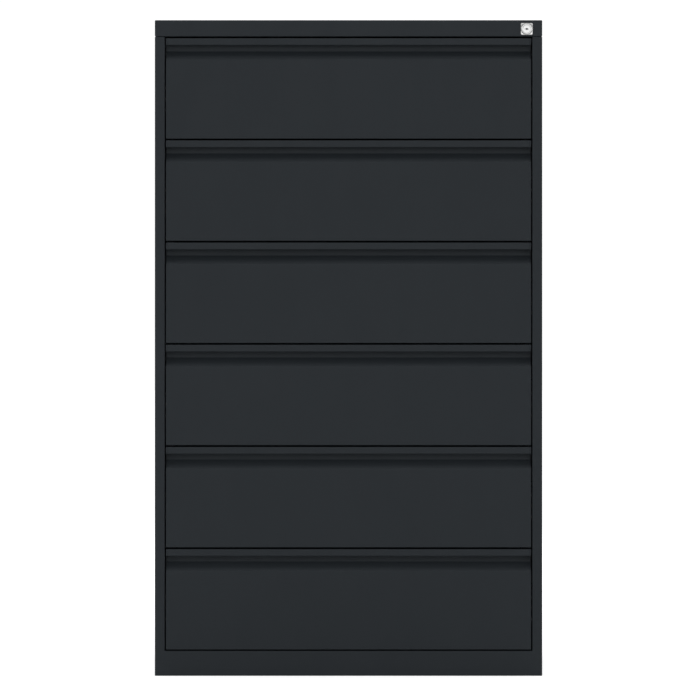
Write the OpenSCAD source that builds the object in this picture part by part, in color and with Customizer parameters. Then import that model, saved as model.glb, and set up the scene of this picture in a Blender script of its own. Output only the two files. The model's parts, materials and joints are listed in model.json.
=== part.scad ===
// Metal filing cabinet with six full-width drawers, a central lock and levelling feet.
// Millimetres. +Z is up, the front faces -Y, and the origin is on the floor under the middle of the
// whole box, the lock's proud face included.

/* [Cabinet] */
// Width over the side panels
cab_w = 800; // [760:10:900]
// Depth from the front face to the back
cab_d = 622; // [612:1:660]
// Height from the floor to the top
cab_h = 1354; // [1300:1:1450]
// Width of the frame beside the drawers
stile_w = 20.5; // [19.5:0.5:24]
// Height of the rail above the top drawer
fascia_h = 33.75; // [32:0.25:45]
// Height of the plinth below the bottom drawer
plinth_h = 51.75; // [50:0.25:80]
// Thickness of the casing sheet
skin = 1; // [0.8:0.1:1.2]

/* [Drawers] */
// Open joint beside the drawer fronts and under the bottom one
gap = 2.5; // [1.5:0.25:4]
// Open joint above each drawer front
joint = 3.5; // [2:0.25:5]
// Depth of the finger recess under the pull
recess_d = 18; // [14:0.5:20]
// Height of the pull's lip
lip_h = 14; // [12:0.5:18]
// Height of a tray's sides
tray_h = 160; // [120:5:165]
// Height of the lane dividers
divider_h = 130; // [80:5:140]
// Travel of a drawer
travel = 560; // [400:10:560]

/* [Slides] */
// Length of a slide
rail_l = 560; // [560:1:562]
// Height of a slide
rail_h = 46; // [45:0.5:48]
// Width of a slide, from post to tray
slide_t = 12.7; // [12.7:0.1:13]

/* [Lock] */
// Side of the square lock plate
lock_plate = 24.5; // [22:0.5:26]
// Height of the lock's face in front of the cabinet
lock_proud = 3; // [2.5:0.5:5]
// Distance from the lock to the cabinet's right side
lock_inset = 32; // [30:1:40]
// Distance from the lock to the cabinet's top
lock_below = 18.5; // [17:0.25:19.5]
// Drop of the lock bar over the key's quarter turn
lock_drop = 12; // [11.5:0.1:12]

/* [Feet] */
// Diameter of a foot's pad
foot_d = 36; // [28:1:40]
// Adjustment of a foot
foot_travel = 20; // [5:1:20]

/* [Hidden] */
$fn = 48;

paint = "#33383b";
zinc = "#b4b7b8";
nickel = "#d8dadb";
nylon = "#e6e4dc";
black = "#1c1c1c";

drawer_count = 6;
half_w = cab_w / 2;
front_y = lock_proud - (cab_d + lock_proud) / 2;
back_y = front_y + cab_d;
bend_r = 2;
bend_steps = 3;
fit = 0.2;

// Carcass
stile_in = half_w - stile_w;
stile_d = 16;
flange = 18;
side_top = cab_h - fascia_h;
pan_z = 50;
post_t = 1.5;
post_w = 44;
post_foot = 12;
post_foot_x = half_w - skin - post_t;
post_z = pan_z + skin;
wall_hole_r = 3.5;
wall_hole_x = 300;
wall_hole_z = cab_h - 64;

// Drawers: z of drawer i's front, counted from the top
pitch = (cab_h - fascia_h - plinth_h - gap) / drawer_count;
front_h = pitch - joint;
front_w = cab_w - 2 * stile_w - 2 * gap;
function front_z(i) = plinth_h + gap + (drawer_count - i) * pitch;
slope_low = front_h - 44.75;
slope_high = front_h - 26.25;
lip_curl = 5;
return_d = recess_d + skin;
pull_d = return_d + skin;
pull_bend = 1.6;

// Slides: u runs from the post towards the tray, w up and down from the slide's middle
rail_x = stile_in + 1.5;
rail_t = 1.4;
member_u = slide_t - 2.2;
rail_y0 = front_y + 29.5;
rail_y1 = rail_y0 + rail_l;
middle_t = 1.2;
middle_l = rail_l - 20;
runner_l = rail_l - 18;
rail_up = 84;
screw_r = 2;
screw_y = [rail_y0 + 19, rail_y1 - 29];
function slide_z(i) = front_z(i) + rail_up;

// Trays
tray_x = rail_x - slide_t;
tray_up = 14;
tray_y0 = front_y + pull_d + fit;
tray_y1 = back_y - 28.5;
tray_hem = 10;
tray_hem_drop = 5;
lane_x = (tray_x - skin) / 3;

// Lock
lock_x = half_w - lock_inset;
lock_z = cab_h - lock_below;
barrel_r = 9.9;
plug_r = 8;
barrel_back = front_y + 17.5;
cam_y = barrel_back + 0.3;
cam_t = 2;
cam_r = lock_drop / 2 / sin(45);
cam_pin_r = 2;
bar_x0 = stile_in + 4.5;
bar_x1 = bar_x0 + 10;
bar_y = front_y + 20.9;
bar_t = 2;
head_z0 = lock_z - 2;
head_z1 = lock_z + 14;
stud_up = 36;
stud_r = 4;
hook_h = 12;
hook_clear = stud_r + 1.5;
guide_z = [for (i = [1, 3, 5]) slide_z(i) + 60];

// Feet
foot_x = half_w - 60;
foot_y0 = front_y + 55;
foot_y1 = back_y - 52;
foot_rest = 1;
stem_r = 5;
channel_w = 60;
channel_z = 14;
channel_t = 2;
nut_af = 17;
nut_h = 8;

// Sheet metal: a path of the sheet's outer face becomes a folded strip of thickness t on its left.
function unit(v) = v / norm(v);
function left(v) = [-v.y, v.x];
function turn(v, a) = [v.x * cos(a) - v.y * sin(a), v.x * sin(a) + v.y * cos(a)];
function reversed(p) = [for (i = [len(p) - 1 : -1 : 0]) p[i]];
function shifted(p, t) = [
    for (i = [0 : len(p) - 1])
        let (
            before = left(unit(i > 0 ? p[i] - p[i - 1] : p[1] - p[0])),
            after = left(unit(i < len(p) - 1 ? p[i + 1] - p[i] : p[i] - p[i - 1]))
        )
        p[i] + t * (before + after) / (1 + before * after)
];
function bend(a, b, c, r) =
    let (
        u = unit(b - a),
        v = unit(c - b),
        side = sign(u.x * v.y - u.y * v.x),
        angle = acos(u * v),
        start = b - r * tan(angle / 2) * u,
        centre = start + side * r * left(u)
    )
    [for (k = [0 : bend_steps]) centre + turn(start - centre, side * angle * k / bend_steps)];
function bent(p, r = bend_r) = [
    p[0],
    for (i = [1 : len(p) - 2]) each bend(p[i - 1], p[i], p[i + 1], r),
    p[len(p) - 1],
];
module folded(path, t, r = bend_r) {
    p = bent(path, r);
    polygon(concat(p, reversed(shifted(p, t))));
}

// Extrusions of an outline along X (outline in Y, Z) and along Y (outline in X, Z)
module along_x(x0, x1) translate([x0, 0, 0]) rotate([90, 0, 90]) linear_extrude(x1 - x0) children();
module along_y(y0, y1) translate([0, y1, 0]) rotate([90, 0, 0]) linear_extrude(y1 - y0) children();
module block(a, b) translate(a) cube(b - a);
module both_sides() {
    children();
    mirror([1, 0, 0]) children();
}

// One side of the casing, folded from a single sheet: stile, wall, rear flange and edge flanges
module side_panel() {
    difference() {
        union() {
            linear_extrude(side_top) folded([
                [stile_in + 9, front_y + stile_d],
                [stile_in, front_y + stile_d],
                [stile_in, front_y],
                [half_w, front_y],
                [half_w, back_y],
                [half_w - flange, back_y],
            ], skin);
            for (z = [0, side_top - skin])
                block(
                    [half_w - flange, front_y + stile_d + skin, z],
                    [half_w - skin / 2, back_y - skin / 2, z + skin]
                );
        }
        block(
            [bar_x0 - 1, bar_y - 1.5, side_top - 2 * skin],
            [bar_x1 + 1, bar_y + bar_t + 1.5, side_top + 1]
        );
    }
}
module side_panel_left() color(paint) mirror([1, 0, 0]) side_panel();
module side_panel_right() color(paint) side_panel();

// The lid: top sheet, front fascia with its return, side and rear edges
module top_panel() color(paint) {
    low = cab_h - fascia_h;
    difference() {
        union() {
            along_x(-half_w, half_w) folded([
                [front_y + 12, low],
                [front_y, low],
                [front_y, cab_h],
                [back_y, cab_h],
                [back_y, low],
            ], -skin);
            both_sides()
                block([half_w - skin, front_y + skin, low], [half_w, back_y - skin, cab_h - skin]);
        }
        translate([lock_x, front_y - 1, lock_z]) rotate([-90, 0, 0]) cylinder(r = barrel_r + 0.1, h = 3);
    }
}

module back_panel() color(paint) {
    difference() {
        along_x(bend_r + fit - half_w, half_w - bend_r - fit) folded([
            [back_y - skin - 10, skin + fit],
            [back_y - skin, skin + fit],
            [back_y - skin, side_top - skin - fit],
            [back_y - skin - 10, side_top - skin - fit],
        ], skin);
        for (x = [-wall_hole_x, wall_hole_x])
            translate([x, back_y - 3, wall_hole_z]) rotate([-90, 0, 0]) cylinder(r = wall_hole_r, h = 4);
    }
}

module plinth_front() color(paint)
    along_x(-stile_in, stile_in) folded([
        [front_y + 20, plinth_h - 10],
        [front_y + 20, plinth_h],
        [front_y, plinth_h],
        [front_y, 0],
        [front_y + 20, 0],
    ], skin);

// Floor of the casing, over the base channels
module base_pan() color(paint)
    block([skin - half_w, front_y + 22, pan_z], [half_w - skin, back_y - flange, pan_z + skin]);

module base_channels() color(zinc)
    for (y = [foot_y0, foot_y1])
        difference() {
            along_x(skin - half_w, half_w - skin) folded([
                [y - channel_w / 2, pan_z],
                [y - channel_w / 2, channel_z],
                [y + channel_w / 2, channel_z],
                [y + channel_w / 2, pan_z],
            ], channel_t, 3);
            for (x = [-foot_x, foot_x])
                translate([x, y, channel_z - 1]) cylinder(r = stem_r + 1, h = channel_t + 2);
        }

// Hat-section posts on the side walls, which carry the slides
module slide_posts() color(zinc)
    both_sides()
        for (y = [rail_y0 - 3, rail_y1 - 51])
            difference() {
                translate([0, 0, post_z]) linear_extrude(side_top - skin - fit - post_z) folded([
                    [post_foot_x, y - post_foot],
                    [post_foot_x, y],
                    [rail_x, y],
                    [rail_x, y + post_w],
                    [post_foot_x, y + post_w],
                    [post_foot_x, y + post_w + post_foot],
                ], -post_t);
                for (i = [1 : drawer_count], hole_y = screw_y)
                    if (hole_y > y && hole_y < y + post_w) screw_hole(i, hole_y);
            }
module screw_hole(i, y)
    translate([rail_x - 3, y, slide_z(i)]) rotate([0, 90, 0]) cylinder(r = screw_r + 0.1, h = 8);

// A slide's outline in (u, w) drawn on the right-hand side of the cabinet
module slide_profile(points, t) folded([for (p = points) [rail_x - p.x, p.y]], t, 1.6);
module outer_rails() color(zinc)
    both_sides()
        for (i = [1 : drawer_count])
            difference() {
                translate([0, 0, slide_z(i)]) along_y(rail_y0, rail_y1) slide_profile([
                    [member_u, rail_h / 2 - 3],
                    [member_u, rail_h / 2],
                    [0, rail_h / 2],
                    [0, -rail_h / 2],
                    [member_u, -rail_h / 2],
                    [member_u, 3 - rail_h / 2],
                ], -rail_t);
                for (y = screw_y) screw_hole(i, y);
            }
module rail_screws() color(zinc)
    both_sides()
        for (i = [1 : drawer_count])
            for (y = screw_y)
                translate([rail_x - rail_t, y, slide_z(i)]) {
                    translate([-1.3, 0, 0]) rotate([0, 90, 0]) cylinder(r = 2 * screw_r, h = 1.3);
                    rotate([0, 90, 0]) cylinder(r = screw_r, h = 8);
                }
module rail_buffers() color(black)
    both_sides()
        for (i = [1 : drawer_count])
            block(
                [tray_x + 2, rail_y1 - 14, slide_z(i) - 8],
                [rail_x - rail_t, rail_y1 - 8, slide_z(i) + 8]
            );

module slide_middle(i) color(zinc)
    both_sides()
        translate([0, 0, slide_z(i)]) along_y(rail_y0, rail_y0 + middle_l) slide_profile([
            [member_u, rail_h / 2 - 5.8],
            [3, rail_h / 2 - 5.8],
            [3, 5.8 - rail_h / 2],
            [member_u, 5.8 - rail_h / 2],
        ], -middle_t);

// The slide's inner members, fixed to the tray. The right one carries the lock stud on an ear.
module drawer_runners(i) color(zinc) {
    both_sides() translate([0, 0, slide_z(i)]) along_y(rail_y0, rail_y0 + runner_l) slide_profile([
        [5.2, rail_h / 2 - 11],
        [slide_t, rail_h / 2 - 11],
        [slide_t, 11 - rail_h / 2],
        [5.2, 11 - rail_h / 2],
    ], rail_t);
    stud_z = slide_z(i) + stud_up;
    block([tray_x, rail_y0 - 5, slide_z(i) + 8], [tray_x + rail_t, rail_y0 + 12, stud_z + stud_r]);
    translate([tray_x, rail_y0 + 2.5, stud_z]) rotate([0, 90, 0]) cylinder(r = stud_r, h = 9.2);
}

// The front sheet: face, slope up into the finger recess, back of the recess, edge returns
module drawer_front(i) color(paint)
    translate([0, front_y, front_z(i)]) {
        along_x(-front_w / 2, front_w / 2) folded([
            [return_d, 0],
            [0, 0],
            [0, slope_low],
            [recess_d, slope_high],
            [recess_d, front_h - pull_bend],
        ], -skin);
        both_sides() along_x(front_w / 2 - skin, front_w / 2) polygon([
            [skin / 2, bend_r],
            [skin / 2, slope_low],
            [recess_d + skin / 2, slope_high],
            [return_d, slope_high],
            [return_d, skin / 2],
            [bend_r, skin / 2],
        ]);
    }

// The pull: a lip with a curled edge in front, and a flange behind the recess
module drawer_pull(i) color(paint)
    translate([0, front_y, front_z(i)]) along_x(-front_w / 2, front_w / 2) folded([
        [lip_curl, front_h - lip_h + 4],
        [lip_curl, front_h - lip_h],
        [0, front_h - lip_h],
        [0, front_h],
        [pull_d, front_h],
        [pull_d, slope_high + 4],
    ], -skin, pull_bend);

module drawer_tray(i) color(paint) {
    low = front_z(i) + tray_up;
    high = low + tray_h;
    along_y(tray_y0, tray_y1) folded([
        [tray_hem - tray_x, high - tray_hem_drop],
        [tray_hem - tray_x, high],
        [-tray_x, high],
        [-tray_x, low],
        [tray_x, low],
        [tray_x, high],
        [tray_x - tray_hem, high],
        [tray_x - tray_hem, high - tray_hem_drop],
    ], skin);
    for (y = [tray_y0, tray_y1 - skin])
        block([skin / 2 - tray_x, y, low + skin / 2], [tray_x - skin / 2, y + skin, high - skin / 2]);
}

// Two walls that part the tray into three lanes, each with a foot flange on the tray's floor
module drawer_dividers(i) color(zinc) {
    floor_z = front_z(i) + tray_up + skin;
    for (x = [-lane_x, lane_x])
        along_y(tray_y0 + skin + fit, tray_y1 - skin - fit) folded([
            [x - 16, floor_z],
            [x, floor_z],
            [x, floor_z + divider_h],
            [x - 6, floor_z + divider_h],
        ], skin, 1.5);
}

// Lock: housing clamped in the fascia, turning plug, cam with its pin
module facing(y) translate([lock_x, y, lock_z]) rotate([-90, 0, 0]) children();
module lock_housing() color(nickel)
    difference() {
        union() {
            block(
                [lock_x - lock_plate / 2, front_y - 1.6, lock_z - lock_plate / 2],
                [lock_x + lock_plate / 2, front_y, lock_z + lock_plate / 2]
            );
            facing(front_y - lock_proud) cylinder(r = lock_plate / 2 - 1, h = lock_proud);
            facing(front_y - 1) cylinder(r = barrel_r, h = barrel_back - front_y + 1);
        }
        facing(front_y - lock_proud - 1) cylinder(r = plug_r + 0.05, h = 40);
    }
module lock_nut() color(zinc)
    facing(front_y + skin) difference() {
        cylinder(d = 27, h = 4, $fn = 6);
        translate([0, 0, -1]) cylinder(r = barrel_r + 0.05, h = 6);
    }
module lock_plug() color(nickel) {
    difference() {
        facing(front_y - lock_proud + 0.6)
            cylinder(r = plug_r, h = barrel_back - front_y + lock_proud - 0.6);
        block(
            [lock_x - 4.5, front_y - lock_proud, lock_z - 0.6],
            [lock_x + 4.5, front_y + 9, lock_z + 0.6]
        );
        facing(front_y - lock_proud) cylinder(r = 2, h = 9);
    }
    block([lock_x - 3, barrel_back, lock_z - 3], [lock_x + 3, cam_y + cam_t, lock_z + 3]);
}
module lock_cam() color(zinc) {
    difference() {
        union() {
            facing(cam_y) cylinder(r = 7, h = cam_t);
            translate([lock_x, 0, lock_z]) rotate([0, -45, 0])
                block([0, cam_y, -5], [cam_r, cam_y + cam_t, 5]);
            cam_pin(5, cam_t);
            cam_pin(cam_pin_r, 7.4);
        }
        block([lock_x - 3.05, cam_y - 1, lock_z - 3.05], [lock_x + 3.05, cam_y + cam_t + 1, lock_z + 3.05]);
    }
}
module cam_pin(r, h)
    translate([lock_drop / 2, 0, lock_drop / 2]) facing(cam_y) cylinder(r = r, h = h);

// Lock bar behind the right-hand stile: it drops to put a hook in front of each drawer's stud
module lock_bar() color(zinc)
    block([bar_x0, bar_y, slide_z(drawer_count) + 20], [bar_x1, bar_y + bar_t, head_z0]);
module lock_bar_head() color(zinc)
    difference() {
        block([lock_x - 1, bar_y, head_z0], [bar_x1, bar_y + bar_t, head_z1]);
        slot_z = lock_z + lock_drop / 2;
        slot_r = cam_pin_r + 0.4;
        block(
            [lock_x + lock_drop / 2 - slot_r - 0.3, bar_y - 1, slot_z - slot_r],
            [lock_x + cam_r + slot_r + 0.3, bar_y + bar_t + 1, slot_z + slot_r]
        );
    }
module lock_hooks() color(zinc)
    for (i = [1 : drawer_count]) {
        low = slide_z(i) + stud_up + hook_clear;
        block([tray_x + 3.2, bar_y, low], [bar_x0, bar_y + bar_t, low + hook_h]);
    }
module lock_bar_guides() color(nylon)
    for (z = guide_z)
        difference() {
            block([stile_in + 2, bar_y - 3, z], [post_foot_x, bar_y + bar_t + 1.5, z + 14]);
            block([bar_x0 - fit, bar_y - fit, z - 1], [bar_x1 + fit, bar_y + bar_t + fit, z + 15]);
        }

// Levelling foot: pad, hexagon for a spanner and threaded stem
module foot(x, y)
    translate([x, y, foot_rest]) {
        color(black) cylinder(d = foot_d, h = 6);
        color(zinc) translate([0, 0, 6]) cylinder(d = 15, h = 4, $fn = 6);
        color(zinc) translate([0, 0, 10]) cylinder(r = stem_r, h = 34);
    }
module foot_front_left() foot(-foot_x, foot_y0);
module foot_front_right() foot(foot_x, foot_y0);
module foot_rear_left() foot(-foot_x, foot_y1);
module foot_rear_right() foot(foot_x, foot_y1);
module foot_nuts() color(zinc)
    for (x = [-foot_x, foot_x], y = [foot_y0, foot_y1])
        translate([x, y, channel_z + channel_t]) difference() {
            cylinder(d = nut_af / cos(30), h = nut_h, $fn = 6);
            translate([0, 0, -1]) cylinder(r = stem_r + 0.05, h = nut_h + 2);
        }

side_panel_left();
side_panel_right();
top_panel();
back_panel();
plinth_front();
base_pan();
base_channels();
slide_posts();
outer_rails();
rail_screws();
rail_buffers();
foot_nuts();
lock_housing();
lock_nut();
lock_bar_guides();
lock_plug();
lock_cam();
lock_bar();
lock_bar_head();
lock_hooks();
foot_front_left();
foot_front_right();
foot_rear_left();
foot_rear_right();
for (i = [1 : drawer_count]) {
    drawer_front(i);
    drawer_pull(i);
    drawer_tray(i);
    drawer_dividers(i);
    drawer_runners(i);
    slide_middle(i);
}
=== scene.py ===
"""The looks of a metal filing cabinet: six full-width drawers in a folded casing, with a lock.

Metres, +Z up, the front faces -Y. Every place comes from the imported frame's boxes. The sheet-metal
details between them, such as bends, hems and seams, are the named sizes below.
"""

import json
import math

import bmesh
import bpy
from mathutils import Matrix, Vector


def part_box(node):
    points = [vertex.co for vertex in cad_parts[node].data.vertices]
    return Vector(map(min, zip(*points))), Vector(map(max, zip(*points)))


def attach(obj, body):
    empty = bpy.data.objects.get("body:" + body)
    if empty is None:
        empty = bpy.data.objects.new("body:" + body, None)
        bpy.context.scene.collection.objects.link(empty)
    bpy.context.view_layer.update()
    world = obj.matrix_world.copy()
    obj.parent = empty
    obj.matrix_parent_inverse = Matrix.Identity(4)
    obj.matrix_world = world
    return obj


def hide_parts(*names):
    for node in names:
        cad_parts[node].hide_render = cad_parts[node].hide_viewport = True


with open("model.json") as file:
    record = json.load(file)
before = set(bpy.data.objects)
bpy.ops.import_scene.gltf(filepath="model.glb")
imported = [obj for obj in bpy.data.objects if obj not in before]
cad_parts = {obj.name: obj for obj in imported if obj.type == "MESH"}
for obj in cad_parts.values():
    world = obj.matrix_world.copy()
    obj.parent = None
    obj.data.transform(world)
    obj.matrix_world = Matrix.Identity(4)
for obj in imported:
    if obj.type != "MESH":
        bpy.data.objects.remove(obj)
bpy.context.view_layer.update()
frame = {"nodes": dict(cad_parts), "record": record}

MM = 0.001
SKIN = 1.0 * MM
BEND = 2.0 * MM
BEND_STEPS = 6
CUT_EDGE = 0.2 * MM
SHEET_CUT = 0.15 * MM
CAP_CUT = 0.6 * MM
SHARP = math.radians(50)
LEAST_CORNER = 0.1 * MM
DRAWERS = range(1, 7)

ANTHRACITE = (0.0415, 0.0508, 0.0600)


# Outlines -----------------------------------------------------------------------------------------


def left_of(v):
    return Vector((-v.y, v.x))


def rounded(path, radius, steps=BEND_STEPS):
    """The open path with an arc of that radius at each of its corners."""
    points = [Vector(p) for p in path]
    result = [points[0]]
    for before, corner, after in zip(points, points[1:], points[2:]):
        into, out = (corner - before).normalized(), (after - corner).normalized()
        turn = math.atan2(into.x * out.y - into.y * out.x, into.dot(out))
        start = corner - into * radius * math.tan(abs(turn) / 2)
        centre = start + left_of(into) * math.copysign(radius, turn)
        for k in range(steps + 1):
            result.append(centre + Matrix.Rotation(turn * k / steps, 2) @ (start - centre))
    return result + [points[-1]]


def shifted(path, distance):
    """The open path moved to its right by that distance."""
    legs = [(b - a).normalized() for a, b in zip(path, path[1:])]
    result = []
    for point, into, out in zip(path, [legs[0]] + legs, legs + [legs[-1]]):
        a, b = left_of(into), left_of(out)
        result.append(point - distance * (a + b) / (1 + a.dot(b)))
    return result


def folded(path, radius=BEND, thickness=SKIN):
    """The closed outline of a sheet folded along the path; its thickness is on the path's right."""
    outer = rounded(path, radius)
    return outer + shifted(outer, thickness)[::-1]


def rounded_box(half, corner, steps=8):
    """A closed rectangle of those half sizes with round corners, anticlockwise from its +X side."""
    result = []
    for quarter, (sx, sy) in enumerate(((1, 1), (-1, 1), (-1, -1), (1, -1))):
        centre = Vector((sx * (half[0] - corner), sy * (half[1] - corner)))
        for k in range(steps + 1):
            a = math.pi / 2 * (quarter + k / steps)
            result.append(centre + corner * Vector((math.cos(a), math.sin(a))))
    return result


def directions(steps):
    """Unit vectors all the way round, anticlockwise from +X."""
    turns = [2 * math.pi * k / steps for k in range(steps)]
    return [Vector((math.cos(a), math.sin(a))) for a in turns]


def spaced(low, high, pitch):
    """Even stations between two ends, close to that pitch."""
    count = max(1, round((high - low) / pitch))
    return [low + (high - low) * k / count for k in range(count + 1)]


# Solids and skins in bmesh ------------------------------------------------------------------------


def join_rows(bm, rows, closed=False):
    """Adds the quads between rows of vertices, which close into rings where asked."""
    for low, high in zip(rows, rows[1:]):
        count = len(low) if closed else len(low) - 1
        for i in range(count):
            j = (i + 1) % len(low)
            bm.faces.new((low[i], low[j], high[j], high[i]))


def add_grid(bm, rows, closed=False):
    """Adds a vertex for each point and the quads between the rows, and returns the vertices."""
    verts = [[bm.verts.new(p) for p in row] for row in rows]
    join_rows(bm, verts, closed)
    return verts


def add_prism(bm, outline, place, low, high):
    """Adds a solid with that closed outline between two stations."""
    ends = add_grid(bm, [[place(p, w) for p in outline] for w in (low, high)], closed=True)
    bm.faces.new(ends[0])
    bm.faces.new(ends[1][::-1])


# A pressed edge: how far in and how high, each from 0 to 1, and its whole run over its rise
PRESS = ((0.3, 0.12), (0.75, 0.88), (1.0, 1.0))
PRESS_RUN = 1.5


def add_cell(bm, place, size, half, corner, relief=None, steps=3):
    """Adds a flat cell with a round-cornered hole in its middle, or a bead pressed to that relief.

    place(u, v, h) sets a point h off the sheet, with u and v from the cell's first corner.
    """
    middle = Vector(size) / 2

    def ring(inset, height):
        outline = rounded_box([h - inset for h in half], max(corner - inset, LEAST_CORNER), steps)
        return [bm.verts.new(place(middle.x + p.x, middle.y + p.y, height)) for p in outline]

    rim = ring(0, 0)
    corners = [bm.verts.new(place(u, v, 0)) for u, v in (size, (0, size[1]), (0, 0), (size[0], 0))]
    per = steps + 1
    for quarter, outer in enumerate(corners):
        arc = rim[quarter * per : (quarter + 1) * per]
        for a, b in zip(arc, arc[1:]):
            bm.faces.new((outer, b, a))
        after = (quarter + 1) % 4
        bm.faces.new((corners[after], rim[after * per], arc[-1], outer))
    if relief:
        slope = PRESS_RUN * abs(relief)
        rings = [rim] + [ring(inset * slope, height * relief) for inset, height in PRESS]
        join_rows(bm, rings, closed=True)
        bm.faces.new(rings[-1])


def add_sheet(bm, path, stations, place, worked=None):
    """Adds a folded sheet's outer skin, swept along the stations with place(p, w).

    worked(leg, bay) gives the arguments of add_cell for the cell at that leg of the path and that
    bay between stations, or None where it is plain.
    """
    for leg, (a, b) in enumerate(zip(path, path[1:])):
        run = (b - a).normalized()
        out = -left_of(run)
        for bay, (low, high) in enumerate(zip(stations, stations[1:])):
            cell = worked and worked(leg, bay)
            if cell:

                def on_sheet(u, v, h):
                    return place(a + run * u + out * h, low + v)

                add_cell(bm, on_sheet, ((b - a).length, high - low), *cell)
            else:
                corners = (place(a, low), place(b, low), place(b, high), place(a, high))
                bm.faces.new([bm.verts.new(c) for c in corners])


def add_turned(bm, profile, place, steps=48):
    """Adds a shape turned from (radius, station) points; place(u, v, w) sets a point off it."""
    turns = directions(steps)
    rows = [[place(r * t.x, r * t.y, station) for t in turns] for r, station in profile]
    add_grid(bm, rows, closed=True)


def add_pressed(bm, profile, place, half, radius=BEND, bent=None, depth=None):
    """Adds a pressed sheet's outer skin: the profile swept across, with its two ends turned in.

    bent is the stretch of the profile whose ends turn in, and depth closes that stretch with a flat
    side as far back as depth. The rest of the profile ends straight.
    """
    first, last = bent or (0, len(profile) - 1)
    inner = half - radius
    add_grid(bm, [[place(p, -inner), place(p, inner)] for p in profile])
    for side in (-1, 1):
        stations = []
        for k in range(BEND_STEPS + 1):
            a = math.pi / 2 * k / BEND_STEPS
            moved = shifted(profile, radius * (1 - math.cos(a)))[first : last + 1]
            stations.append([place(p, side * (inner + radius * math.sin(a))) for p in moved])
        edge = add_grid(bm, stations)[-1]
        if depth is not None:
            corner = bm.verts.new(place((depth, moved[-1].y), side * half))
            bm.faces.new(edge + [corner])
        for straight in (profile[: first + 1], profile[last:]):
            if len(straight) > 1:
                add_grid(bm, [[place(p, side * inner), place(p, side * half)] for p in straight])


def across(p, w):
    """An outline in (y, z), swept along x."""
    return (w, p[0], p[1])


def upward(p, w):
    """An outline in (x, y), swept along z."""
    return (p[0], p[1], w)


def endways(p, w):
    """An outline in (x, z), swept along y."""
    return (p[0], w, p[1])


# Pieces -------------------------------------------------------------------------------------------


def finish_piece(name, bm, body, material, replaces=(), skin=None, toward=None, cut=CUT_EDGE):
    """Makes the mesh a piece of the object.

    skin gives an open surface its thickness, on the side away from toward, and cut breaks the sharp
    edges.
    """
    bmesh.ops.remove_doubles(bm, verts=bm.verts, dist=1e-7)
    bmesh.ops.recalc_face_normals(bm, faces=bm.faces)
    if toward is not None:

        def facing(face):
            return face.calc_center_median().dot(toward) + 1e-3 * face.calc_area()

        front = max(bm.faces, key=facing)
        if front.normal.dot(toward) < 0:
            bmesh.ops.reverse_faces(bm, faces=bm.faces)
    for face in bm.faces:
        face.smooth = True
    mesh = bpy.data.meshes.new(name)
    bm.to_mesh(mesh)
    bm.free()
    mesh.materials.append(material)
    piece = bpy.data.objects.new(name, mesh)
    bpy.context.scene.collection.objects.link(piece)
    if skin:
        solid = piece.modifiers.new("thickness", "SOLIDIFY")
        solid.thickness = skin
        solid.offset = -1
        solid.use_even_offset = True
    break_edges(piece, cut)
    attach(piece, body)
    if replaces:
        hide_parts(*replaces)
    return piece


def break_edges(piece, cut):
    """A small round on the sharp edges, and shading that keeps the flats flat."""
    if cut:
        bevel = piece.modifiers.new("edges", "BEVEL")
        bevel.width = cut
        bevel.segments = 2
        bevel.limit_method = "ANGLE"
        bevel.angle_limit = SHARP
    weighted = piece.modifiers.new("flats", "WEIGHTED_NORMAL")
    weighted.keep_sharp = True
    weighted.weight = 100


# Materials ----------------------------------------------------------------------------------------


def add_node(tree, kind, inputs=None, **settings):
    node = tree.nodes.new("ShaderNode" + kind)
    for key, value in settings.items():
        setattr(node, key, value)
    for key, value in (inputs or {}).items():
        if isinstance(value, bpy.types.NodeSocket):
            tree.links.new(value, node.inputs[key])
        else:
            node.inputs[key].default_value = value
    return node


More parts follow.
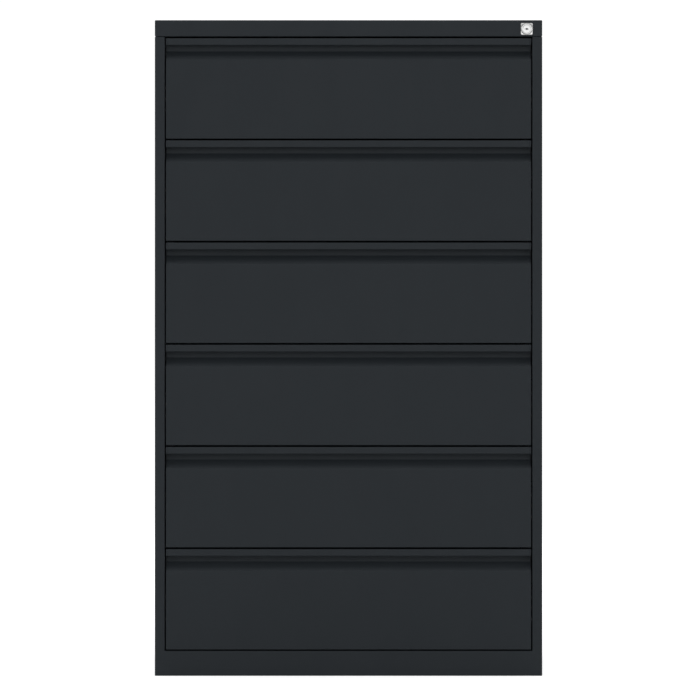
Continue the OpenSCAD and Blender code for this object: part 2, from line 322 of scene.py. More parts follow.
class Finish:
    """A material around one Principled shader, with its texture read in the row frame's metres."""

    def __init__(self, name, **constants):
        self.material = bpy.data.materials.new(name)
        self.material.use_nodes = True
        self.tree = self.material.node_tree
        self.shader = self.tree.nodes["Principled BSDF"]
        for key, value in constants.items():
            self.shader.inputs[key.replace("_", " ")].default_value = value
        self.place = add_node(self.tree, "TexCoord").outputs["Object"]
        self.normal = None

    def stretched(self, scale):
        mapping = add_node(self.tree, "Mapping", {"Vector": self.place, "Scale": scale})
        return mapping.outputs["Vector"]

    def noise(self, size, detail=2.0, rough=0.5, along=(1, 1, 1), warp=0.0):
        """Noise with features of that size in metres, from 0 to 1."""
        inputs = {
            "Vector": self.stretched(along),
            "Scale": 1 / size,
            "Detail": detail,
            "Roughness": rough,
            "Distortion": warp,
        }
        return add_node(self.tree, "TexNoise", inputs).outputs["Fac"]

    def cells(self, size, along=(1, 1, 1), feature="F1"):
        inputs = {"Vector": self.stretched(along), "Scale": 1 / size}
        return add_node(self.tree, "TexVoronoi", inputs, feature=feature).outputs

    def spread(self, fac, low, high, start=0.3, end=0.7):
        """fac from start to end becomes low to high."""
        inputs = {"Value": fac, "From Min": start, "From Max": end, "To Min": low, "To Max": high}
        return add_node(self.tree, "MapRange", inputs).outputs["Result"]

    def math(self, operation, a, b):
        node = add_node(self.tree, "Math", operation=operation)
        for socket, value in zip(node.inputs, (a, b)):
            if isinstance(value, bpy.types.NodeSocket):
                self.tree.links.new(value, socket)
            else:
                socket.default_value = value
        return node.outputs[0]

    def tint(self, fac, low, high):
        """A colour between two shades."""
        node = add_node(self.tree, "Mix", data_type="RGBA")
        self.tree.links.new(fac, node.inputs[0])
        for socket, value in ((node.inputs[6], low), (node.inputs[7], high)):
            if isinstance(value, bpy.types.NodeSocket):
                self.tree.links.new(value, socket)
            else:
                socket.default_value = (*value, 1)
        return node.outputs[2]

    def bump(self, height, depth, strength=1.0):
        """Adds a relief of that depth in metres."""
        inputs = {"Height": height, "Distance": depth, "Strength": strength}
        if self.normal:
            inputs["Normal"] = self.normal
        self.normal = add_node(self.tree, "Bump", inputs).outputs["Normal"]

    def join(self, **outputs):
        """Links the finished colour and numbers to the shader, and returns the material."""
        if self.normal:
            outputs["Normal"] = self.normal
        for key, value in outputs.items():
            self.tree.links.new(value, self.shader.inputs[key.replace("_", " ")])
        return self.material


def shade(color, factor):
    return tuple(min(1.0, c * factor) for c in color)


def powder_coat(name, color, gloss):
    """Fine-textured powder coat: orange peel, a fine grain, and faint clouds of tone and gloss."""
    coat = Finish(name, IOR=1.5, Specular_IOR_Level=0.36)
    peel = coat.noise(2.2 * MM, detail=3, rough=0.45)
    grain = coat.noise(0.55 * MM, detail=2, rough=0.6)
    clouds = coat.noise(180 * MM, detail=3, rough=0.55)
    wiped = coat.noise(60 * MM, detail=4, rough=0.6, along=(1, 1, 0.35), warp=0.6)
    body = coat.tint(clouds, shade(color, 0.95), shade(color, 1.05))
    speck = coat.tint(coat.spread(grain, 0, 1, 0.35, 0.65), shade(color, 0.9), shade(color, 1.12))
    colored = coat.tint(coat.spread(peel, 0.25, 0.55), body, speck)
    worn = coat.spread(wiped, gloss - 0.03, gloss + 0.04)
    rough = coat.math("ADD", worn, coat.spread(grain, -0.03, 0.03))
    coat.bump(peel, 0.05 * MM, 0.5)
    coat.bump(grain, 0.02 * MM, 0.5)
    return coat.join(Base_Color=colored, Roughness=rough)


def galvanised(name):
    """Hot-dip galvanised sheet: angular spangle in greys, faint rolling lines and white bloom."""
    zinc = Finish(name, Metallic=0.85)
    spangle = zinc.cells(9 * MM)["Color"]
    tone = add_node(zinc.tree, "SeparateColor", {"Color": spangle})
    bloom = zinc.noise(45 * MM, detail=4, rough=0.6)
    lines = zinc.noise(1.2 * MM, detail=2, along=(1, 0.03, 1))
    fine = zinc.noise(0.8 * MM, detail=2)
    color = zinc.tint(tone.outputs[0], (0.58, 0.595, 0.61), (0.7, 0.71, 0.72))
    color = zinc.tint(zinc.spread(bloom, 0, 0.35), color, (0.72, 0.73, 0.74))
    facets = zinc.spread(tone.outputs[1], 0.42, 0.54, 0, 1)
    rough = zinc.math("ADD", facets, zinc.spread(lines, -0.04, 0.05))
    zinc.bump(fine, 0.01 * MM, 0.4)
    zinc.bump(tone.outputs[2], 0.01 * MM, 0.25)
    return zinc.join(Base_Color=color, Roughness=rough)


def zinc_plate(name, along, warm=0.0):
    """Bright zinc plate: drawing lines one way, a faint blue and straw cast, small scuffs."""
    zinc = Finish(name, Metallic=1.0)
    lines = zinc.noise(0.9 * MM, detail=3, rough=0.6, along=along)
    cast = zinc.noise(28 * MM, detail=3, rough=0.5)
    scuffs = zinc.noise(3.5 * MM, detail=4, rough=0.7, warp=1.2)
    straw = (0.68 + warm, 0.66 + warm * 0.8, 0.61)
    color = zinc.tint(zinc.spread(cast, 0, 1), (0.6, 0.625, 0.65), straw)
    color = zinc.tint(zinc.spread(scuffs, 0, 0.4, 0.55, 0.75), color, (0.5, 0.51, 0.52))
    rough = zinc.math("ADD", zinc.spread(lines, 0.24, 0.34), zinc.spread(scuffs, 0, 0.1, 0.5, 0.75))
    zinc.bump(lines, 0.012 * MM, 0.5)
    return zinc.join(Base_Color=color, Roughness=rough)


def nickel(name):
    """Polished nickel plate with faint handling haze and hairlines."""
    plate = Finish(name, Metallic=1.0)
    haze = plate.noise(6 * MM, detail=3, rough=0.6)
    hairs = plate.noise(0.25 * MM, detail=2, along=(1, 1, 0.04), warp=0.3)
    color = plate.tint(haze, (0.83, 0.835, 0.83), (0.88, 0.885, 0.88))
    rough = plate.math("ADD", plate.spread(haze, 0.05, 0.09), plate.spread(hairs, 0, 0.03))
    plate.bump(hairs, 0.004 * MM, 0.4)
    return plate.join(Base_Color=color, Roughness=rough)


def moulded(name, color, rough, size=0.7 * MM, depth=0.02 * MM, **constants):
    """Moulded plastic or rubber with a fine erosion grain and a little dust in the tone."""
    plastic = Finish(name, **constants)
    grain = plastic.noise(size, detail=2, rough=0.55)
    dust = plastic.noise(12 * MM, detail=4, rough=0.6)
    colored = plastic.tint(plastic.spread(dust, 0, 1), shade(color, 0.9), shade(color, 1.12))
    plastic.bump(grain, depth, 0.6)
    dull = plastic.spread(grain, rough - 0.06, rough + 0.06)
    return plastic.join(Base_Color=colored, Roughness=dull)


CASING = powder_coat("casing_coat", ANTHRACITE, 0.6)
FRONT = powder_coat("front_coat", ANTHRACITE, 0.6)
TRAY = powder_coat("tray_coat", shade(ANTHRACITE, 1.06), 0.58)
GALVANISED = galvanised("galvanised_sheet")
RAIL = zinc_plate("zinc_rail", (1, 0.02, 1))
FITTING = zinc_plate("zinc_fitting", (1, 1, 0.06), warm=0.03)
BLACK_ZINC = moulded("black_zinc", (0.014, 0.014, 0.015), 0.5, size=0.9 * MM, depth=0.01 * MM)
# KEYWAY is painted shade: a near-black material for the keyway's inner faces, where no light gets in
KEYWAY = moulded("keyway_painted_shade", (0.012, 0.012, 0.012), 0.6)
NICKEL = nickel("nickel_plate")
BALL = nickel("ball_steel")
NYLON = moulded("natural_nylon", (0.72, 0.7, 0.64), 0.42, Subsurface_Weight=0.08)
RUBBER = moulded("black_rubber", (0.02, 0.02, 0.021), 0.7)
PAD = moulded("black_nylon", (0.022, 0.022, 0.024), 0.5, size=1.1 * MM)


# Places from the frame ----------------------------------------------------------------------------

front_low, front_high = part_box("drawer_1_front")
side_low, side_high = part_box("side_panel_right")
lid_low, lid_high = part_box("top_panel")
plinth_low, plinth_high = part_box("plinth_front")
pull_low, pull_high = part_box("drawer_1_pull")
plate_low, plate_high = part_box("lock_housing")
plug_low, plug_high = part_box("lock_plug")

half_w = side_high.x
stile_in = side_low.x
face_y = side_low.y
back_y = side_high.y
side_top = side_high.z
drawer_half = front_high.x
front_d = front_high.y - front_low.y
pull_d = pull_high.y - pull_low.y
lock_x = (plug_low.x + plug_high.x) / 2
lock_z = (plug_low.z + plug_high.z) / 2


# Casing -------------------------------------------------------------------------------------------

STILE_D = 16 * MM
STILE_LIP = 9 * MM
REAR_FLANGE = 18 * MM
END_ROUND = 1.2 * MM
PLINTH_TURN = 10 * MM
LID_RETURN = 5 * MM
LID_SEAM = 0.8 * MM


def casing_sheet(name, bm, out, cut=SHEET_CUT):
    """Makes a sheet of the casing a piece, with its outer skin facing out."""
    finish_piece(name + "_sheet", bm, "cabinet", CASING, [name], SKIN, out, cut)


def side_panel(side):
    """A side wall and its stile, folded from one sheet, with its top and bottom edges turned in."""
    path = rounded(
        [
            (stile_in + STILE_LIP, face_y + STILE_D),
            (stile_in, face_y + STILE_D),
            (stile_in, face_y),
            (half_w, face_y),
            (half_w, back_y),
            (half_w - REAR_FLANGE, back_y),
        ],
        BEND,
    )
    bm = bmesh.new()
    middle = (side_top - LID_SEAM) / 2

    def place(p, w):
        return (side * p[0], p[1], middle + w)

    add_pressed(bm, path[::-1], place, middle, END_ROUND)
    casing_sheet("side_panel_right" if side > 0 else "side_panel_left", bm, Vector((side, 0, 0)))


def lid():
    """The lid: one sheet with ball corners, its lower edge turned in all round."""
    bm = bmesh.new()
    low, high = lid_low.z, lid_high.z
    centre_y, half_y = (face_y + back_y) / 2, (back_y - face_y) / 2
    turns = [math.pi / 2 * k / BEND_STEPS for k in range(BEND_STEPS + 1)]
    levels = [(LID_RETURN, low)]
    levels += [(BEND * (1 - math.sin(a)), low + BEND * (1 - math.cos(a))) for a in turns]
    levels += [(BEND * (1 - math.cos(a)), high - BEND * (1 - math.sin(a))) for a in turns]

    def ring(inset, z):
        corner = max(BEND - inset, LEAST_CORNER)
        outline = rounded_box((half_w - inset, half_y - inset), corner, BEND_STEPS)
        return [(p.x, centre_y + p.y, z) for p in outline]

    rows = add_grid(bm, [ring(inset, z) for inset, z in levels], closed=True)
    bm.faces.new(rows[-1])
    casing_sheet("top_panel", bm, Vector((0, 0, 1)))


def plinth():
    """The plinth's sheet, welded flush to the stiles: its face covers their inner bends."""
    depth = plinth_high.y - plinth_low.y
    path = [
        (face_y + depth, plinth_high.z - PLINTH_TURN),
        (face_y + depth, plinth_high.z),
        (face_y, plinth_high.z),
        (face_y, 0),
        (face_y + depth, 0),
    ]
    bm = bmesh.new()
    half = stile_in + BEND
    add_prism(bm, folded([Vector(p) for p in path][::-1]), across, -half, half)
    finish_piece("plinth_sheet", bm, "cabinet", CASING, ["plinth_front"])


# Drawers ------------------------------------------------------------------------------------------

SLOPE_DROP = 44.75 * MM
RECESS_DROP = 26.25 * MM
SIDE_BEND = 1.2 * MM
FRONT_BEND = 1.4 * MM
NOTCH = 3 * MM
LIP_H = 14 * MM
CURL_D = 5 * MM
CURL_H = 4 * MM
PULL_BEND = 1.2 * MM
CAP_W = 3 * MM
CAP_SEAM = 0.15 * MM


def drawer_front(i):
    """The front sheet: face, slope into the finger recess and its back wall, with folded sides."""
    low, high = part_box(f"drawer_{i}_front")
    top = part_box(f"drawer_{i}_pull")[1].z
    rear = low.y + front_d
    recess = rear - SKIN
    corners = [
        (rear, low.z),
        (low.y, low.z),
        (low.y, top - SLOPE_DROP),
        (recess, top - RECESS_DROP),
        (recess, high.z),
    ]
    path = rounded(corners, FRONT_BEND)
    notch = Vector(corners[3]) + (Vector(corners[2]) - Vector(corners[3])).normalized() * 2 * NOTCH
    index = next(k for k, p in enumerate(path) if p.y > notch.y)
    path.insert(index, notch)
    bm = bmesh.new()
    add_pressed(bm, path, across, drawer_half, SIDE_BEND, (0, index), rear)
    body, out = f"drawer_{i}", Vector((0, -1, 0))
    name = body + "_front"
    finish_piece(name + "_sheet", bm, body, FRONT, [name], SKIN, out, SHEET_CUT)


def drawer_pull(i):
    """The pull: a folded lip with a curled lower edge, and a cap that closes each of its ends."""
    low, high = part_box(f"drawer_{i}_pull")
    front, rear = low.y, low.y + pull_d
    foot = high.z - LIP_H
    path = [
        (front + CURL_D, foot + CURL_H),
        (front + CURL_D, foot),
        (front, foot),
        (front, high.z),
        (rear, high.z),
        (rear, low.z),
    ]
    bm = bmesh.new()
    inner = drawer_half - CAP_W - CAP_SEAM
    add_prism(bm, folded([Vector(p) for p in path], PULL_BEND), across, -inner, inner)
    name = f"drawer_{i}_pull"
    finish_piece(name + "_strip", bm, f"drawer_{i}", FRONT, [name])

    cap = [
        (front + CURL_D, high.z - SKIN),
        (front + CURL_D, foot),
        (front, foot),
        (front, high.z),
        (rear, high.z),
        (rear, low.z),
        (rear - SKIN, low.z),
        (rear - SKIN, high.z - SKIN),
    ]
    bm = bmesh.new()
    for side in (-1, 1):
        ends = sorted((side * (drawer_half - CAP_W), side * drawer_half))
        add_prism(bm, [Vector(p) for p in cap], across, *ends)
    finish_piece(name + "_caps", bm, f"drawer_{i}", FRONT, cut=CAP_CUT)


# Trays --------------------------------------------------------------------------------------------

TRAY_HEM = 10 * MM
TRAY_HEM_DROP = 5 * MM
TRAY_MARGIN = 20 * MM
BEAD_LANES = 6
BEAD = (8 * MM, 110 * MM)
BEAD_RISE = -1.0 * MM
DIVIDER_FOOT = 16 * MM
DIVIDER_TOP = 6 * MM
DIVIDER_BEND = 1.5 * MM
SLOT_PITCH = 25 * MM
SLOT = (2.2 * MM, 8 * MM)
SLOT_ROWS = (30 * MM, 95 * MM)


def drawer_tray(i):
    """The tray: one folded sheet with hemmed rims, closed ends and beads pressed into its floor."""
    low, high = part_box(f"drawer_{i}_tray")
    half = high.x
    corners = [
        (TRAY_HEM - half, high.z - TRAY_HEM_DROP),
        (TRAY_HEM - half, high.z),
        (-half, high.z),
        (-half, low.z),
        (half, low.z),
        (half, high.z),
        (half - TRAY_HEM, high.z),
        (half - TRAY_HEM, high.z - TRAY_HEM_DROP),
    ]
    path = rounded(corners, BEND)
    floor = max(range(len(path) - 1), key=lambda k: (path[k + 1] - path[k]).length)
    start, end = path[floor : floor + 2]
    lane = (end - start) / BEAD_LANES
    path[floor + 1 : floor + 1] = [start + lane * k for k in range(1, BEAD_LANES)]

    def worked(leg, bay):
        if floor <= leg < floor + BEAD_LANES and bay in (1, 2):
            return BEAD, BEAD[0], BEAD_RISE
        return None

    bm = bmesh.new()
    first, last = low.y + TRAY_MARGIN, high.y - TRAY_MARGIN
    add_sheet(bm, path, [low.y, first, (first + last) / 2, last, high.y], endways, worked)
    rim = next(k for k, p in enumerate(path) if p.x < BEND - half)
    walls = path[rim : len(path) - rim]
    for y in (low.y, high.y):
        bm.faces.new([bm.verts.new(endways(p, y)) for p in walls])
    body, out = f"drawer_{i}", Vector((0, 0, -1))
    name = body + "_tray"
    finish_piece(name + "_sheet", bm, body, TRAY, [name], SKIN, out)


def drawer_dividers(i):
    """The two lane walls: a foot flange, a turned top and two rows of slots for cross plates."""
    low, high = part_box(f"drawer_{i}_dividers")
    bm = bmesh.new()
    stations = spaced(low.y, high.y, SLOT_PITCH)
    for wall in (low.x + DIVIDER_FOOT, high.x):
        corners = [
            (wall - DIVIDER_FOOT, low.z),
            (wall, low.z),
            (wall, high.z),
            (wall - DIVIDER_TOP, high.z),
        ]
        path = rounded(corners, DIVIDER_BEND)
        rise = max(range(len(path) - 1), key=lambda k: (path[k + 1] - path[k]).length)
        edges = [low.z + z + side * SLOT_PITCH / 4 for z in SLOT_ROWS for side in (-1, 1)]
        path[rise + 1 : rise + 1] = [Vector((wall, z)) for z in edges]

        def worked(leg, bay):
            if leg in (rise + 1, rise + 3) and 0 < bay < len(stations) - 2:
                return SLOT, SLOT[0]
            return None

        add_sheet(bm, path, stations, endways, worked)
    body, out = f"drawer_{i}", Vector((1, 0, -0.01))
    name = body + "_dividers"
    finish_piece(name + "_sheet", bm, body, GALVANISED, [name], SKIN, out, 0)


# Slides -------------------------------------------------------------------------------------------

CAGE_T = 0.5 * MM
CAGE_GAP = 1.2 * MM
# How far from the post a cage's web, lips and balls lie, how high its rows, and its ball radius
OUTER_RACE = {
    "web": 1.9 * MM,
    "lip": 8.5 * MM,
    "seat": 6.4 * MM,
    "row": 19.4 * MM,
    "ball": 2.1 * MM,
}
INNER_RACE = {
    "web": 4.4 * MM,
    "lip": 9.5 * MM,
    "seat": 7.4 * MM,
    "row": 14.0 * MM,
    "ball": 1.9 * MM,
}
RACE_BALLS = 7
RACE_PITCH = 30 * MM
RACE_L = RACE_BALLS * RACE_PITCH


def ball_race(cages, balls, race, start, place):
    """One cage from that station on, folded round two rows of balls; place is as in add_prism."""
    web, lip, row = race["web"], race["lip"], race["row"]
    path = [Vector(p) for p in ((lip, row), (web, row), (web, -row), (lip, -row))]
    add_prism(cages, folded(path, CAGE_GAP, CAGE_T), place, start, start + RACE_L)
    for height in (-row, row):
        for k in range(RACE_BALLS):
            seat = Matrix.Translation(place((race["seat"], height), start + (k + 0.5) * RACE_PITCH))
            bmesh.ops.create_icosphere(balls, subdivisions=2, radius=race["ball"], matrix=seat)


def ball_races(i):
    """The ball cages and balls of a drawer's slides, which keep with the middle members."""
    low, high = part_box(f"slide_{i}_middle")
    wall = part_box("outer_rails")[1].x
    middle_z = (low.z + high.z) / 2
    cages, balls = bmesh.new(), bmesh.new()
    places = [
        lambda p, w: (p[0] - wall, w, middle_z + p[1]),
        lambda p, w: (wall - p[0], w, middle_z + p[1]),
    ]
    outer, inner = high.y - RACE_L - RACE_PITCH / 2, low.y + RACE_PITCH / 2
    for race, start in ((OUTER_RACE, outer), (INNER_RACE, inner)):
        for place in places:
            ball_race(cages, balls, race, start, place)
    finish_piece(f"slide_{i}_cages", cages, f"slides_{i}", RAIL, cut=0)
    finish_piece(f"slide_{i}_balls", balls, f"slides_{i}", BALL, cut=0)


# Structure inside and behind ----------------------------------------------------------------------

POST_W = 44 * MM
POST_FOOT = 12 * MM
POST_T = 1.5 * MM
POST_CELLS = 8
POST_ROW = 8 * MM
POST_HOLE = (4.5 * MM, 2.2 * MM)
WALL_HOLE_R = 3.5 * MM
WALL_HOLE_X = 300 * MM
WALL_HOLE_DROP = 64 * MM
WALL_HOLE_CELL = 10 * MM
EMBOSS_RISE = 0.7 * MM
EMBOSS_CORNER = 25 * MM
EMBOSS_GAP = 12 * MM
BACK_FLANGE = 10 * MM


def slide_posts():
    """The hat-section posts, with a row of slots for the slides' screws all the way up."""
    low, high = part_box("slide_posts")
    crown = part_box("outer_rails")[1].x
    upper, lower = (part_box(f"slide_{i}_middle") for i in (5, 6))
    slide_z = (lower[0].z + lower[1].z) / 2
    bay = (upper[0].z - lower[0].z) / POST_CELLS
    # A slot, the middle of its cell, falls at each slide's middle height
    first = slide_z - bay * (math.floor((slide_z - low.z) / bay - 0.6) + 0.5)
    count = math.ceil((high.z - first) / bay - 0.2)
    stations = [low.z, *(first + bay * k for k in range(count)), high.z]
    bm = bmesh.new()
    for side in (-1, 1):
        for y in (low.y + POST_FOOT, high.y - POST_FOOT - POST_W):
            corners = [
                (side * high.x, y - POST_FOOT),
                (side * high.x, y),
                (side * crown, y),
                (side * crown, y + POST_W),
                (side * high.x, y + POST_W),
                (side * high.x, y + POST_W + POST_FOOT),
            ]
            path = rounded(corners, BEND)
            span = max(range(len(path) - 1), key=lambda k: (path[k + 1] - path[k]).length)
            row = [y + POST_W / 2 - POST_ROW, y + POST_W / 2 + POST_ROW]
            path[span + 1 : span + 1] = [Vector((side * crown, v)) for v in row]
            if side < 0:
                path = path[::-1]

            def worked(leg, bay_index):
                if leg == span + 1 and 0 < bay_index < len(stations) - 2:
                    return POST_HOLE, POST_HOLE[1]
                return None

            add_sheet(bm, path, stations, upward, worked)
    name = "slide_posts"
    finish_piece(name + "_punched", bm, "cabinet", GALVANISED, [name], POST_T, cut=0)


def back_panel():
    """The back sheet: two embossed fields, the wall-fixing holes, and its edges turned forward."""
    low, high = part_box("back_panel")
    hole_z = lid_high.z - WALL_HOLE_DROP
    near, far = WALL_HOLE_X - WALL_HOLE_CELL, WALL_HOLE_X + WALL_HOLE_CELL
    xs = [-high.x, -far, -near, near, far, high.x]
    field = (hole_z - 2 * POST_W) / 2
    zs = [low.z, low.z + POST_W, field, field + POST_W]
    zs += [hole_z - POST_W, hole_z - WALL_HOLE_CELL, hole_z + WALL_HOLE_CELL, high.z]
    bm = bmesh.new()
    ends = [Vector((high.y - BACK_FLANGE, z)) for z in (low.z, high.z)]
    path = ends[:1] + [Vector((high.y, z)) for z in zs] + ends[1:]

    def worked(leg, bay):
        row = leg - 1
        if row == 5 and bay in (1, 3):
            return (WALL_HOLE_R, WALL_HOLE_R), WALL_HOLE_R, None, 8
        if row in (1, 3) and bay == 2:
            half = ((zs[row + 1] - zs[row]) / 2 - EMBOSS_GAP, near - EMBOSS_GAP)
            return half, EMBOSS_CORNER, EMBOSS_RISE, 8
        return None

    add_sheet(bm, path, xs, across, worked)
    casing_sheet("back_panel", bm, Vector((0, 1, 0)), cut=0)


# Feet ---------------------------------------------------------------------------------------------

STEM_R = 5 * MM
ROOT_R = STEM_R - 0.9 * MM
THREAD_PITCH = 1.5 * MM
THREAD_START = 0.5 * MM
THREAD_END = 2 * MM
PAD_H = 6 * MM
HEX_H = 4 * MM
HEX_R = 7.5 * MM


def foot(name):
    """A levelling foot: a turned black pad, and a zinc stem with its hexagon and thread."""
    low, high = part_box(name)
    x, y = (low.x + high.x) / 2, (low.y + high.y) / 2
    pad_r = (high.x - low.x) / 2

    def place(u, v, w):
        return (x + u, y + v, low.z + w)

    pad = bmesh.new()
    profile = [
        (0, 0),
        (pad_r - 1.2 * MM, 0),
        (pad_r - 0.3 * MM, 0.4 * MM),
        (pad_r, 1.4 * MM),
        (pad_r, 3.2 * MM),
        (pad_r - 0.8 * MM, 4.4 * MM),
        (pad_r - 6 * MM, PAD_H - 0.6 * MM),
        (1.9 * STEM_R, PAD_H),
        (0, PAD_H),
    ]
    add_turned(pad, profile, place)
    finish_piece(name + "_pad", pad, name, PAD, [name], cut=0)

    stem = bmesh.new()
    top, shoulder = high.z - low.z, PAD_H + HEX_H
    turns = int((top - shoulder - THREAD_END) / THREAD_PITCH)
    profile = [(0, top), (ROOT_R, top)]
    for k in range(turns):
        z = top - THREAD_START - k * THREAD_PITCH
        crest = [(STEM_R, z - share * THREAD_PITCH) for share in (0.45, 0.55)]
        profile += [(ROOT_R, z), *crest]
    profile += [(ROOT_R, shoulder + THREAD_START), (ROOT_R, shoulder)]
    add_turned(stem, profile, place, 32)
    hexagon = [HEX_R * turn for turn in directions(6)]
    add_prism(stem, hexagon, lambda p, w: place(p[0], p[1], w), PAD_H, shoulder)
    finish_piece(name + "_stem", stem, name, FITTING, cut=0)


# Lock ---------------------------------------------------------------------------------------------

PLATE_T = 1.6 * MM
PLATE_CORNER = 2.2 * MM
PLATE_EDGE = 0.7 * MM
GROOVE_R = 11.55 * MM
GROOVE_D = 1.3 * MM
COLLAR_R = 10.85 * MM
BORE_R = 8.05 * MM
BARREL_R = 9.9 * MM
LOCK_STEPS = 128
KEYWAY_R = 5.5 * MM
KEYWAY_D = 14 * MM
KEYWAY_EDGE = 0.2 * MM


def plate_reach(turn, half):
    """How far the plate's rounded square reaches from its centre, along that unit vector."""
    less, more = sorted(abs(t) for t in turn)
    inner = half - PLATE_CORNER
    if half * less / more <= inner:
        return half / more
    toward = inner * (less + more)
    return toward + math.sqrt(toward**2 - 2 * inner**2 + PLATE_CORNER**2)


def lock_housing():
    """The square plate with its pillowed edge, a groove, the turned collar and the barrel."""
    face = plate_low.y
    plate_y = face_y - PLATE_T
    half = (plate_high.x - plate_low.x) / 2
    turns = directions(LOCK_STEPS)
    square = [
        (0, face_y),
        (0, plate_y + PLATE_EDGE),
        (0.2 * PLATE_EDGE, plate_y + 0.3 * PLATE_EDGE),
        (0.8 * PLATE_EDGE, plate_y),
    ]
    rings = [[(plate_reach(t, half - inset) * t, y) for t in turns] for inset, y in square]
    profile = [
        (GROOVE_R, plate_y),
        (GROOVE_R, plate_y + GROOVE_D),
        (COLLAR_R, plate_y + GROOVE_D),
        (COLLAR_R, face + 0.5 * MM),
        (COLLAR_R - 0.15 * MM, face + 0.15 * MM),
        (COLLAR_R - 0.5 * MM, face),
        (BORE_R + 0.5 * MM, face),
        (BORE_R + 0.15 * MM, face + 0.15 * MM),
        (BORE_R, face + 0.5 * MM),
        (BORE_R, plate_high.y),
        (BARREL_R, plate_high.y),
        (BARREL_R, face_y),
    ]
    rings += [[(radius * t, y) for t in turns] for radius, y in profile]
    bm = bmesh.new()
    rows = [[(lock_x + p.x, y, lock_z + p.y) for p, y in ring] for ring in rings]
    add_grid(bm, rows, closed=True)
    name = "lock_housing"
    finish_piece(name + "_turned", bm, "cabinet", NICKEL, [name], cut=0)


def darken_keyway():
    """Painted shade inside the plug's keyway, where no light gets in: its inner faces take a
    near-black material.
    """
    plug = frame["nodes"]["lock_plug"]
    plug.data.materials.append(KEYWAY)
    for face in plug.data.polygons:
        centre = plug.matrix_world @ face.center
        off_axis = math.hypot(centre.x - lock_x, centre.z - lock_z)
        sunk = centre.y - plug_low.y
        face.material_index = int(off_axis < KEYWAY_R and KEYWAY_EDGE < sunk < KEYWAY_D)


# What the CAD already shapes right ----------------------------------------------------------------


def carried_over(node, material, cut=CUT_EDGE):
    """A CAD node that keeps its shape: it gets its material and broken edges."""
    piece = frame["nodes"][node]
    piece.data.materials.clear()
    piece.data.materials.append(material)
    weld = piece.modifiers.new("weld", "WELD")
    weld.merge_threshold = 1e-6
    break_edges(piece, cut)


SLOT_MATERIALS = {
    "casing_paint": CASING,
    "front_paint": FRONT,
    "tray_paint": TRAY,
    "galvanised": GALVANISED,
    "zinc_rail": RAIL,
    "zinc_fitting": FITTING,
    "lock_nickel": NICKEL,
    "nylon": NYLON,
    "buffer_rubber": RUBBER,
    "foot_black": PAD,
}
LOCK_ROD_NODES = ("lock_bar", "lock_bar_head", "lock_hooks")


# Studio -------------------------------------------------------------------------------------------

CAMERA_D = 9.0
CAMERA_X = -1.1 * MM
VIEW_W = 1.437
FLOOR_REACH = 60
ROOM_WHITE = 1.05
ROOM_GLOW = 0.13
FLOOR_LIFT = 0.75
KEY_W = 19
FILL_W = 9
SKY_W = 60
SIDE_W = 30


def pale_floor():
    """A pale matt floor that fades into the white room, and that the lens sees overexposed."""
    pale = Finish("pale_floor", Roughness=0.8, Emission_Color=(1, 1, 1, 1))
    tone = pale.noise(0.6, detail=3)
    away = add_node(pale.tree, "VectorMath", {0: pale.place}, operation="LENGTH").outputs["Value"]
    lift = pale.spread(away, FLOOR_LIFT, ROOM_WHITE, 1.0, 5.0)
    seen = add_node(pale.tree, "LightPath").outputs["Is Camera Ray"]
    color = pale.tint(tone, (0.86, 0.86, 0.86), (0.9, 0.9, 0.9))
    return pale.join(Base_Color=color, Emission_Strength=pale.math("MULTIPLY", lift, seen))


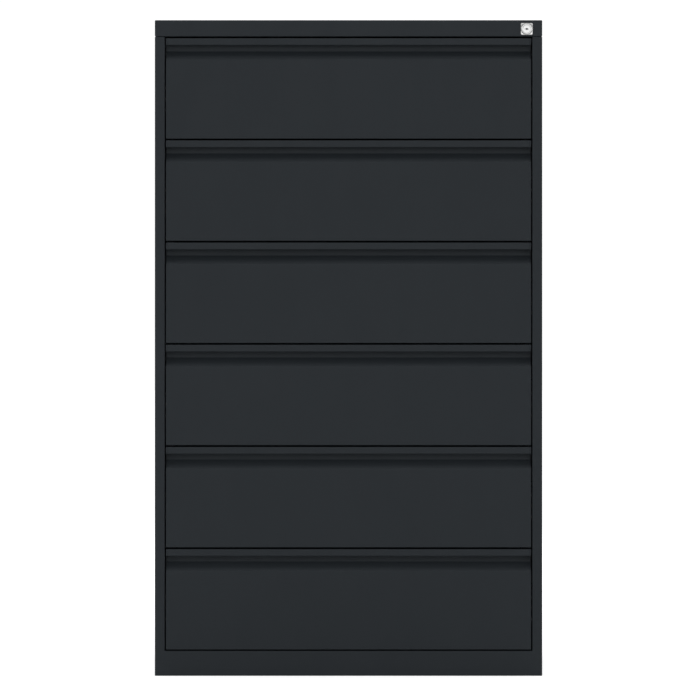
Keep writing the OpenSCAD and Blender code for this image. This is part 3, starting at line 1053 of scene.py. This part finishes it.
def studio():
    """A pale floor, a white room, soft light from above and in front, and the camera."""
    bm = bmesh.new()
    quarters = ((-1, -1), (1, -1), (1, 1), (-1, 1))
    bm.faces.new([bm.verts.new((x * FLOOR_REACH, y * FLOOR_REACH, 0)) for x, y in quarters])
    mesh = bpy.data.meshes.new("floor")
    bm.to_mesh(mesh)
    bm.free()
    floor = bpy.data.objects.new("floor", mesh)
    bpy.context.scene.collection.objects.link(floor)
    floor.data.materials.append(pale_floor())

    world = bpy.data.worlds.new("studio")
    bpy.context.scene.world = world
    world.use_nodes = True
    tree = world.node_tree
    back = tree.nodes["Background"]
    back.inputs["Color"].default_value = (1, 1, 1, 1)
    seen = add_node(tree, "LightPath").outputs["Is Camera Ray"]
    glow = add_node(tree, "MapRange", {"Value": seen, "To Min": ROOM_GLOW, "To Max": ROOM_WHITE})
    tree.links.new(glow.outputs["Result"], back.inputs["Strength"])

    area_light("key", (0, -4.3, 2.35), (0, -0.3, 0.9), (4.0, 1.6), KEY_W)
    area_light("fill", (0, -7.0, 0.9), (0, 0, 0.8), (5.0, 1.8), FILL_W)
    area_light("sky", (0, 0.4, 4.2), (0, 0, 0), (5.0, 4.0), SKY_W)
    for side in (-1, 1):
        area_light(f"side_{side}", (side * 5.0, -1.0, 2.4), (0, 0, 0.7), (3.0, 2.4), SIDE_W)
        area_light(f"rear_{side}", (side * 3.0, 5.5, 2.6), (0, 0, 0.7), (3.0, 2.4), SIDE_W)

    camera = bpy.data.cameras.new("camera")
    camera.sensor_width = 36
    camera.lens = camera.sensor_width * CAMERA_D / VIEW_W
    eye = bpy.data.objects.new("camera", camera)
    eye.location = (CAMERA_X, face_y - CAMERA_D, lid_high.z / 2)
    eye.rotation_euler = (math.pi / 2, 0, 0)
    camera.clip_end = 100
    bpy.context.scene.collection.objects.link(eye)
    bpy.context.scene.camera = eye
    bpy.context.scene.view_settings.view_transform = "Standard"


def area_light(name, place, target, size, power):
    light = bpy.data.lights.new(name, "AREA")
    light.shape = "RECTANGLE"
    light.size, light.size_y = size
    light.energy = power
    lamp = bpy.data.objects.new(name, light)
    lamp.location = place
    lamp.rotation_euler = (Vector(target) - Vector(place)).to_track_quat("-Z", "Y").to_euler()
    lamp.visible_camera = False
    bpy.context.scene.collection.objects.link(lamp)


# Assembly -----------------------------------------------------------------------------------------

for side in (-1, 1):
    side_panel(side)
lid()
plinth()
back_panel()
slide_posts()
for i in DRAWERS:
    drawer_front(i)
    drawer_pull(i)
    drawer_tray(i)
    drawer_dividers(i)
    ball_races(i)
for node in ("foot_front_left", "foot_front_right", "foot_rear_left", "foot_rear_right"):
    foot(node)
lock_housing()
for part in frame["record"]["subparts"]:
    if not frame["nodes"][part["node"]].hide_render:
        blacked = part["node"] in LOCK_ROD_NODES
        carried_over(part["node"], BLACK_ZINC if blacked else SLOT_MATERIALS[part["material_slot"]])
darken_keyway()
studio()
